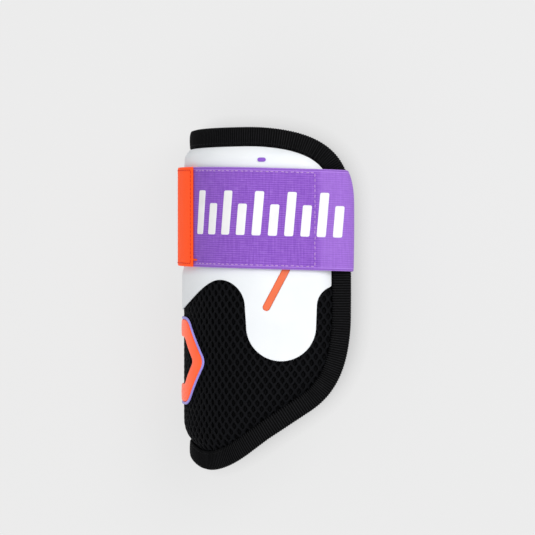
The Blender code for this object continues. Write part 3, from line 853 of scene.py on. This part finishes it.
def binding():
    """Grosgrain tape with real cross ribs, folded round the edge."""
    total = length_of(EDGE)
    ribs = round(total / RIB_PITCH)
    stations = ribs * 4
    loop = resampled(EDGE, stations)
    normal = inward_normals(loop)
    run = np.arange(stations) / stations * total
    rib = np.cos(2 * math.pi * run * ribs / total) * RIB_HEIGHT
    leg = (
        # share of the tape's width, share of the tape's thickness above the core
        (1.00, 0.10),
        (1.01, 0.55),
        (0.97, 0.92),
        (0.80, 1.08),
        (0.55, 1.18),
        (0.30, 1.10),
        (0.14, 0.80),
        (0.04, 0.30),
    )
    half = EDGE_CORE / 2 + GAP
    outer = [(BINDING_WIDTH * a, half + BINDING_THICK * b) for a, b in leg]
    profile = outer + [(0.0, 0.0)] + [(d, -h) for d, h in reversed(outer)]
    outside = len(profile)
    profile += [(BINDING_NOSE, -half), (BINDING_NOSE, half)]
    breadth = run_along(np.array(profile))
    rings, cloth = [], []
    for k, (d, h) in enumerate(profile):
        lift = rib if k < outside else 0.0
        edge_row = k in (0, 1, outside - 1, outside - 2)
        uneven = wobble(run, total, TAPE_UNEVEN, k // (outside // 2)) if edge_row else 0.0
        reach = d + uneven + (rib if edge_row else 0.0)
        height = EDGE_MID + h + np.sign(h) * lift
        width = reach - (lift if h == 0 else 0.0)
        place = loop + normal * np.broadcast_to(width, (stations,))[:, None]
        rings.append(wrap(*place.T, height))
        cloth.append(np.column_stack((run, np.full(stations, breadth[k]))))
    points = np.concatenate(rings)
    faces = grid_faces(len(profile), stations, close_rows=True, close_columns=True)
    piece = add_mesh("binding_tape", points, faces, np.concatenate(cloth))
    piece.data.flip_normals()
    material = grosgrain_material(total / ribs)
    return settle(piece, ["edge_binding_near", "edge_binding_far"], "black_grosgrain", material)


def capsules(name, centres, along, up, length, radius, material, slot):
    """Many small thread ends as one mesh, each a flattened capsule lying along the seam."""
    centres, along, up = np.asarray(centres), np.asarray(along), np.asarray(up)
    along = along / np.linalg.norm(along, axis=1)[:, None]
    side = np.cross(up, along)
    side /= np.linalg.norm(side, axis=1)[:, None]
    up = np.cross(along, side)
    rings = ((-0.5, 0.0), (-0.42, 0.7), (-0.2, 1.0), (0.2, 1.0), (0.42, 0.7), (0.5, 0.0))
    sides = 6
    template = []
    for position, size in rings:
        for k in range(sides):
            a = 2 * math.pi * k / sides
            template.append((position * length, math.cos(a) * radius * size, math.sin(a) * radius * size))
    one = grid_faces(len(rings), sides, close_columns=True)
    template = np.array(template)
    points = (centres[:, None, :] + template[None, :, 0, None] * along[:, None, :]
              + template[None, :, 1, None] * side[:, None, :] + template[None, :, 2, None] * up[:, None, :])
    faces = copied_faces(one, len(centres), len(template))
    piece = add_mesh(name, points.reshape(-1, 3), faces)
    weld = piece.modifiers.new("weld", "WELD")
    weld.merge_threshold = 1e-6
    settle(piece, [], slot, material)


def seam_on_skin(name, line, height, stitch, material, slot):
    """Stitches along an open line at a height above the wrapped skin; stitch is pitch, length, radius."""
    pitch, length, radius = stitch
    line = np.asarray(line, float)
    run = run_along(line)
    count = max(1, int(run[-1] / pitch))
    at = (np.arange(count) + 0.5) * run[-1] / count
    def place(run_at, lift=0.0):
        return wrap(*(np.interp(run_at, run, values) for values in line.T), height + lift)
    along = place(at + length * STITCH_REACH) - place(at - length * STITCH_REACH)
    capsules(name, place(at), along, place(at, 0.01) - place(at), length, radius, material, slot)


def binding_stitches():
    """Black stitches close to the binding's inner edge."""
    loop = EDGE + EDGE_INWARD * (BINDING_WIDTH - 0.0016)
    loop = np.concatenate((loop, loop[:1]))
    height = EDGE_MID + EDGE_CORE / 2 + GAP + BINDING_THICK * 1.05
    seam_on_skin("binding_stitches", loop, height, BINDING_STITCH, BLACK_THREAD, "black_grosgrain")


def leather():
    """Leather panel with a rounded cut edge, slots for the bars and two faint creases above the strap."""
    slots = [pill(place, length, ACCENT_WIDTH + GAP / 3, lean) for place, length, lean in accent_places()]
    plain = laid_shape(PANEL_GAP, PANEL_TOP, LEATHER_ROUNDING)
    def shape(s, v, distance):
        low, high = plain(s, v, distance)
        base = skin(s, v)
        above = v - strap_centre(s) - STRAP_WIDTH / 2
        crease = CREASE_DEPTH * sum(np.exp(-((above - at) / CREASE_WIDTH) ** 2) for at in CREASES_ABOVE_STRAP)
        ripple = RIPPLE_HEIGHT * np.sin(s * 260 + 2 * np.sin(v * 180)) * np.sin(v * 150)
        drop = (crease - ripple) * rounded(distance, 0.004)
        inward = wrap(s, v, base) - wrap(s, v, base + 1.0)
        return low, high + inward * drop[:, None]
    piece = inlay("leather_upper", [PANEL] + slots, PANEL_GRID, LEATHER_ROUNDING, shape,
                  (0.12, 0.4, 1.0, 2.2))
    settle(piece, ["leather_panel"], "white_leather", LEATHER)


def accent_places():
    """Place of the lower end, length and lean of each bar set into the leather."""
    s, v = ACCENT_PLACE[0] * WRAP_HALF, ACCENT_PLACE[1] * HEIGHT
    crown_v = CROWN_BAR_PLACE_V * HEIGHT + ACCENT_WIDTH / 2
    return (
        ((s, v), ACCENT_LENGTH, ACCENT_LEAN),
        ((-s, v), ACCENT_LENGTH, -ACCENT_LEAN),
        ((0.0, crown_v), CROWN_BAR_LENGTH, 0.0),
    )


def accents():
    """Bars set into the leather's slots."""
    bars = (
        # node, finish, material
        ("accent_bar_near", "orange_rubber", BAR_RUBBER),
        ("accent_bar_far", "orange_rubber", BAR_RUBBER),
        ("crown_bar", "purple_rubber", PURPLE_RUBBER),
    )
    for (name, slot, material), (place, length, lean) in zip(bars, accent_places()):
        outline = pill(place, length, ACCENT_WIDTH, lean, 16)
        shape = laid_shape(PANEL_GAP, PANEL_TOP - BAR_SUNK, BAR_ROUNDING)
        piece = inlay(name + "_moulded", [outline], 0.0009, BAR_ROUNDING, shape, (0.12, 0.4, 1.0, 2.0))
        settle(piece, [name], slot, material)


def softened(corners, curve_end, steps):
    """Points of an outline with rounded corners; curve_end(corner, next one) gives where a curve ends."""
    points = []
    for i, corner in enumerate(corners):
        here = Vector(corner)
        before = curve_end(here, Vector(corners[i - 1]))
        after = curve_end(here, Vector(corners[(i + 1) % len(corners)]))
        for j in range(steps):
            t = j / (steps - 1)
            points.append(tuple(before.lerp(here, t).lerp(here.lerp(after, t), t)))
    return points


def badge_outline(margin):
    """Plain hexagon with rounded corners, smaller by a margin all round."""
    wide, tall = EMBLEM_WIDTH / 2 - margin, EMBLEM_HEIGHT / 2 - margin
    shoulder = wide * EMBLEM_SHOULDER
    corners = (
        (wide, 0), (shoulder, tall), (-shoulder, tall),
        (-wide, 0), (-shoulder, -tall), (shoulder, -tall),
    )
    points = softened(corners, lambda here, other: here.lerp(other, EMBLEM_ROUNDING), 9)
    line = [(s, EMBLEM_PLACE_V * HEIGHT + v) for s, v in points]
    return clockwise(resampled(line, 220))


def emblem():
    """Plain six-sided ring on the crown: a narrow rim, and a domed face inside it."""
    seam = EMBLEM_RIM + GAP / 3
    loops = [badge_outline(0.0), badge_outline(EMBLEM_RIM)]
    shape = laid_shape(GAP, GAP + EMBLEM_THICK * 0.95, RIM_ROUNDING)
    rim = inlay("emblem_rim_moulded", loops, 0.0010, RIM_ROUNDING, shape)
    settle(rim, ["emblem_rim"], "lilac_rubber", LILAC_RUBBER)
    shape = laid_shape(GAP, GAP + EMBLEM_THICK * 0.85, FACE_ROUNDING, EMBLEM_THICK * 0.35, EMBLEM_BAND / 2)
    loops = [badge_outline(seam), badge_outline(seam + EMBLEM_BAND)]
    face = inlay("emblem_face_moulded", loops, 0.0012, FACE_ROUNDING, shape)
    settle(face, ["emblem_face"], "orange_rubber", ORANGE_RUBBER)


def outward(line):
    """Unit normals of lines in XZ, pointing away from the arm."""
    tangent = np.gradient(line, axis=0)
    tangent /= np.linalg.norm(tangent, axis=-1)[..., None]
    return np.stack((-tangent[..., 1], tangent[..., 0]), axis=-1)


def thinned(count, shares):
    """Ones, with the given shares at both ends."""
    thick = np.ones(count)
    for i, share in enumerate(shares):
        thick[i] = thick[-1 - i] = share
    return thick


def level(start, end, count, height):
    """Points of a level line, as rows of place and height."""
    return np.column_stack((np.linspace(start, end, count), np.full(count, height)))


def strap_line(v, bulge):
    """The strap's line in XZ at height v, as rows of x and z."""
    leave = flat_start(NEAR_TURN, NEAR_SHOULDER_RADIUS)
    s = np.linspace(TAB_START + TAB_HEM, leave, 90)
    points = [wrap(s, 0.0, STRAP_MID)[:, [0, 2]]]
    edge_x = wrap(side_edge_s(v), 0.0, 0.0)[0, 0]
    back_x = edge_x + STRAP_CLEARANCE + STRAP_THICK / 2 + bulge
    top_z = wrap(WRAP_HALF, 0.0, STRAP_MID)[0, 2]
    points.append(level(points[0][-1, 0], back_x - BACK_BEND_LONG, 12, top_z)[1:])
    a = np.linspace(0, QUARTER_TURN, 20)[1:]
    points.append(np.column_stack((back_x - BACK_BEND_LONG * (1 - np.sin(a)),
                                   top_z - BACK_BEND_DEEP * (1 - np.cos(a)))))
    far_z = wrap(-WRAP_HALF, 0.0, -PAD_THICK - GAP - STRAP_THICK / 2)[0, 2]
    seat_x = wrap(-FAR_SEAT_S * WRAP_HALF, 0.0, 0.0)[0, 0]
    high = np.array((back_x, top_z - BACK_BEND_DEEP))
    low = np.array((seat_x, far_z + FAR_BEND_RADIUS))
    share = np.linspace(0, 1, 26)[1:-1, None]
    points.append(high + (low - high) * share)
    a = np.linspace(0, QUARTER_TURN, 12)
    points.append(np.column_stack((seat_x - FAR_BEND_RADIUS * (1 - np.cos(a)),
                                   far_z + FAR_BEND_RADIUS * (1 - np.sin(a)))))
    far_x = seat_x - FAR_BEND_RADIUS
    points.append(level(far_x, far_x - FAR_END_LENGTH, 14, far_z)[1:])
    return np.concatenate(points)


def strap_grid():
    """Shares across the strap, and for each row and share its XZ place, its run and its normal."""
    across = np.concatenate(([-0.5, -0.496, -0.485], np.linspace(-0.468, 0.468, 27), [0.485, 0.496, 0.5]))
    columns, runs = [], []
    for a in across:
        line = strap_line(strap_centre(WRAP_HALF) + a * STRAP_WIDTH, STRAP_BULGE * (1 - 4 * a ** 2))
        columns.append(line)
        runs.append(TAB_START + TAB_HEM + run_along(line))
    line, run = np.stack(columns, axis=1), np.stack(runs, axis=1)
    return across, line, run, outward(line)


STRAP_GRID = strap_grid()


def on_strap(run, across, height):
    """Points at a height above the strap's outer face, from the run along it and the distance across it."""
    shares, line, runs, out = STRAP_GRID
    run, across, height = np.broadcast_arrays(*(np.asarray(value, float) for value in (run, across, height)))
    middle = len(shares) // 2
    lift = STRAP_THICK / 2 + height
    x, z, out_x, out_z = (np.interp(run, runs[:, middle], values[:, middle])
                          for values in (line[:, :, 0], line[:, :, 1], out[:, :, 0], out[:, :, 1]))
    far_across = np.clip(across / STRAP_WIDTH, -0.5, 0.5)
    nudge = np.zeros(run.shape)
    for column in range(len(shares) - 1):
        inside_column = (far_across >= shares[column]) & (far_across <= shares[column + 1])
        if inside_column.any():
            here = np.interp(run[inside_column], runs[:, column], line[:, column, 0])
            nudge[inside_column] = here - x[inside_column]
    y = strap_centre(run) + across + SHIFT[1]
    return np.column_stack(((x + nudge + out_x * lift).ravel(), y.ravel(), (z + out_z * lift).ravel()))


def two_sided(name, line, out, half, run, across, centre):
    """A thin piece as wide as the strap, closed along its four edges.

    line and out are its middle's places and normals in XZ, half is half its thickness, run and across are
    its places on the flat cloth, across as shares, and centre is its centre line's height.
    """
    y = centre + across * STRAP_WIDTH + SHIFT[1]
    rows, cols = y.shape
    cloth = np.stack(np.broadcast_arrays(run, across * STRAP_WIDTH), axis=2).reshape(-1, 2)
    sides = []
    for sign in (1, -1):
        xz = line + out * half * sign
        sides.append(np.stack((xz[:, :, 0], y, xz[:, :, 1]), axis=2).reshape(-1, 3))
    shift = rows * cols
    faces = grid_faces(rows, cols) + [list(reversed(f)) for f in grid_faces(rows, cols, start=shift)]
    rim = [[(i, 0) for i in range(rows)], [(rows - 1, j) for j in range(cols)],
           [(i, cols - 1) for i in reversed(range(rows))], [(0, j) for j in reversed(range(cols))]]
    for side in rim:
        for (i, j), (k, m) in zip(side, side[1:]):
            faces.append([i * cols + j, k * cols + m, k * cols + m + shift, i * cols + j + shift])
    return add_mesh(name, np.concatenate(sides), faces, np.tile(cloth, (2, 1)))


def strap_stitches(name, line):
    """Stitches on the strap along a line of (run, across) places."""
    run = run_along(line)
    count = max(1, int(run[-1] / STITCH_PITCH))
    order = np.arange(count)
    at = (order + 0.5 + 0.10 * np.sin(order * 2.4)) * run[-1] / count
    height = STITCH_RADIUS * (0.35 + 0.35 * np.sin(order * 1.7))
    shift, twist = 0.00010 * np.sin(order * 2.9), 0.00006 * np.sin(order * 4.1)
    def place(run_at, height, shift=0.0):
        here = [np.interp(run_at, run, values) for values in line.T]
        across = (line[-1] - line[0])[::-1] * (1, -1) / run[-1]
        return on_strap(here[0] + across[0] * shift, here[1] + across[1] * shift, height)
    ahead = place(at + STITCH_LENGTH * STITCH_REACH, height, shift + twist)
    behind = place(at - STITCH_LENGTH * STITCH_REACH, height, shift - twist)
    above = place(at, 0.01) - place(at, 0.0)
    capsules(name, place(at, height, shift), ahead - behind, above, STITCH_LENGTH, STITCH_RADIUS,
             LILAC_THREAD, "purple_elastic")


def strap():
    """Elastic strap with soft rounded selvedges."""
    across, line, run, out = STRAP_GRID
    half = STRAP_THICK / 2 * thinned(len(across), (0.05, 0.62, 0.92))[None, :, None]
    piece = two_sided("strap_elastic", line, out, half, run, across, strap_centre(run))
    settle(piece, ["strap"], "purple_elastic", ELASTIC)


def strap_print():
    """A row of plain slanted bars printed in white on the strap."""
    lean = math.radians(5)
    start, pitch, count = 0.0378, 0.01007, 10
    wide, corner = 0.0057, 0.0011
    low = -0.0107
    def shape(run, across, distance):
        height = 0.00013 * rounded(distance, PRINT_ROUNDING)
        return on_strap(run, across, -0.00005), on_strap(run, across, height)
    for i in range(count):
        tall = 0.0275 if i % 2 == 0 else 0.0195
        reach = math.tan(lean) * tall
        s = start + i * pitch
        corners = [(s, low), (s + reach, low + tall), (s + reach + wide, low + tall), (s + wide, low)]
        points = softened(corners, lambda here, other: here + (other - here).normalized() * corner, 5)
        outline = resampled(clockwise(points), 90)
        piece = inlay("strap_bar_%d" % (i + 1), [outline], 0.0016, PRINT_ROUNDING, shape)
        settle(piece, [], "purple_elastic", WHITE_PRINT)


def strap_seams():
    """Stitches that hold the hook patch under the strap, and the box that holds its far end."""
    half = STRAP_WIDTH / 2 - 0.0024
    start, end = strap_run(TAB_START + TAB_LENGTH + 0.0015), strap_run(PATCH_END_S * WRAP_HALF - 0.0008)
    lines = {
        "upper": ((start, half), (end, half)),
        "lower": ((start, -half), (end, -half)),
        "end": ((end, -half), (end, half)),
    }
    for name, (a, b) in lines.items():
        strap_stitches("strap_seam_" + name, np.linspace(a, b, 60))
    last = float(STRAP_GRID[2].max())
    first, last = last - FAR_END_LENGTH + 0.003, last - 0.003
    half = STRAP_WIDTH / 2 - 0.004
    corners = [(first, -half), (last, -half), (last, half), (first, half), (first, -half), (last, half)]
    for index, (a, b) in enumerate(zip(corners, corners[1:])):
        strap_stitches("far_seam_%d" % (index + 1), np.linspace(a, b, 30))


def tab():
    """Orange tape folded over the strap's end, with soft edges and a stitched border."""
    end = TAB_START + TAB_LENGTH
    fold = (TAB_MID - TAB_UNDER_MID) / 2
    fold_s = TAB_START + fold
    a = np.linspace(0, math.pi, 16)[1:-1]
    route = np.concatenate((
        level(end - GAP, fold_s, 28, TAB_UNDER_MID),
        np.column_stack((fold_s - fold * np.sin(a), TAB_UNDER_MID + fold * (1 - np.cos(a)))),
        level(fold_s, end, 36, TAB_MID),
    ))
    line = wrap(route[:, 0], 0.0, route[:, 1])[:, [0, 2]]
    run = run_along(line)
    across = np.concatenate(([-0.5, -0.495, -0.484], np.linspace(-0.465, 0.465, 17), [0.484, 0.495, 0.5]))
    thick = thinned(len(across), (0.08, 0.65, 0.93))[None, :, None]
    taper = thinned(len(line), (0.35, 0.9))[:, None, None]
    piece = two_sided("tab_tape", line[:, None], outward(line)[:, None], TAB_THICK / 2 * thick * taper,
                      run[:, None], across, strap_centre(route[:, 0])[:, None])
    settle(piece, ["pull_tab"], "orange_tape", ORANGE_TAPE)
    tab_stitches(end)


def tab_stitches(end):
    """Border of stitches on the tab and a short bar tack at its lower corner."""
    inset = 0.0020
    half = STRAP_WIDTH / 2 - inset
    low_s, high_s = TAB_START + 0.003, end - inset
    height = TAB_MID + TAB_THICK / 2 + 0.00004
    corners = [(low_s, -half), (high_s, -half), (high_s, half), (low_s, half), (low_s, -half)]
    for index, (p, q) in enumerate(zip(corners, corners[1:])):
        line = np.linspace(p, q, 20)
        line[:, 1] += strap_centre(line[:, 0])
        seam_on_skin("tab_seam_%d" % (index + 1), line, height, TAB_STITCH, DEEP_ORANGE_THREAD, "orange_tape")
    tack = np.linspace((end - 0.0010, -half + 0.0024), (end + 0.0030, -half + 0.0024), 6)
    tack[:, 1] += strap_centre(tack[:, 0])
    seam_on_skin("tab_tack", tack, STRAP_TOP + 0.0004, TACK_STITCH, ORANGE_THREAD, "orange_tape")


def hook_patch():
    """The hook patch keeps its solid and gets a woven finish."""
    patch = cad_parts["hook_patch"]
    patch.data.materials.clear()
    patch.data.materials.append(HOOK_TAPE)


def small_print():
    """Small plain mark on the leather above the strap."""
    outline = pill(MARK_PLACE, MARK_SIZE, MARK_SIZE, QUARTER_TURN, 10)
    shape = laid_shape(PANEL_TOP - 0.00004, PANEL_TOP + 0.00006, PRINT_ROUNDING)
    piece = inlay("small_mark", [clockwise(outline)], 0.0006, PRINT_ROUNDING, shape)
    settle(piece, [], "purple_rubber", PURPLE_RUBBER)


def floor_material():
    """Plain pale studio floor, lit mostly from itself; an occlusion node dims its emission close to the
    guard, a painted contact shadow.
    """
    material, tree, shader = nodes_of("pale floor")
    # Painted contact shadow: the occlusion turns the floor's emission down near the guard.
    near = node(tree, "ShaderNodeAmbientOcclusion", {"Distance": 0.016}, samples=8)
    set_inputs(tree, shader, {
        "Base Color": (0.12, 0.12, 0.12, 1),
        "Roughness": 0.9,
        "Specular IOR Level": 0.0,
        "Emission Color": (1.0, 1.0, 1.0, 1),
        "Emission Strength": ramp(tree, near.outputs["AO"], 0.66, 0.97, 0.50, 0.71),
    })
    return material


def area_light(name, place, target, size, power):
    """A square soft light that looks at a point."""
    data = bpy.data.lights.new(name, "AREA")
    data.shape = "SQUARE"
    data.size = size
    data.energy = power
    lamp = add_object(name, data)
    lamp.location = place
    lamp.rotation_euler = (Vector(target) - Vector(place)).to_track_quat("-Z", "Y").to_euler()


def studio():
    """Floor, lights and the camera straight above the near wall."""
    side = 3.0
    points = [(-side, -side, 0), (side, -side, 0), (side, side, 0), (-side, side, 0)]
    floor = add_mesh("floor", points, [[0, 1, 2, 3]], smooth=False)
    floor.data.materials.append(floor_material())
    world = bpy.data.worlds.new("studio")
    bpy.context.scene.world = world
    world.use_nodes = True
    set_inputs(world.node_tree, world.node_tree.nodes["Background"], {0: (1.0, 1.0, 1.0, 1), 1: 0.55})
    centre = (0.0, 0.0, 0.05)
    area_light("key", (0.55, 0.55, 1.30), centre, 0.9, 11.0)
    area_light("fill", (-0.30, -0.60, 1.40), centre, 1.2, 6.0)
    near_z = SHIFT[2] + NEAR_SHOULDER_RADIUS
    data = bpy.data.cameras.new("camera")
    data.sensor_fit = "HORIZONTAL"
    data.sensor_width = 36.0
    data.lens = data.sensor_width * CAMERA_DISTANCE / (PIXEL_SIZE * PHOTO_SIDE)
    camera = add_object("camera", data)
    camera.location = (SHIFT[0] + VIEW_S_FROM_CROWN, SHIFT[1] + VIEW_V, near_z + CAMERA_DISTANCE)
    bpy.context.scene.camera = camera
    settings = bpy.context.scene.view_settings
    settings.view_transform = "Standard"
    settings.look = "None"


shell = pad_shell()
spacer_mesh()
tape = binding()
binding_stitches()
leather()
accents()
emblem()
strap()
strap_print()
strap_seams()
tab()
hook_patch()
small_print()
studio()
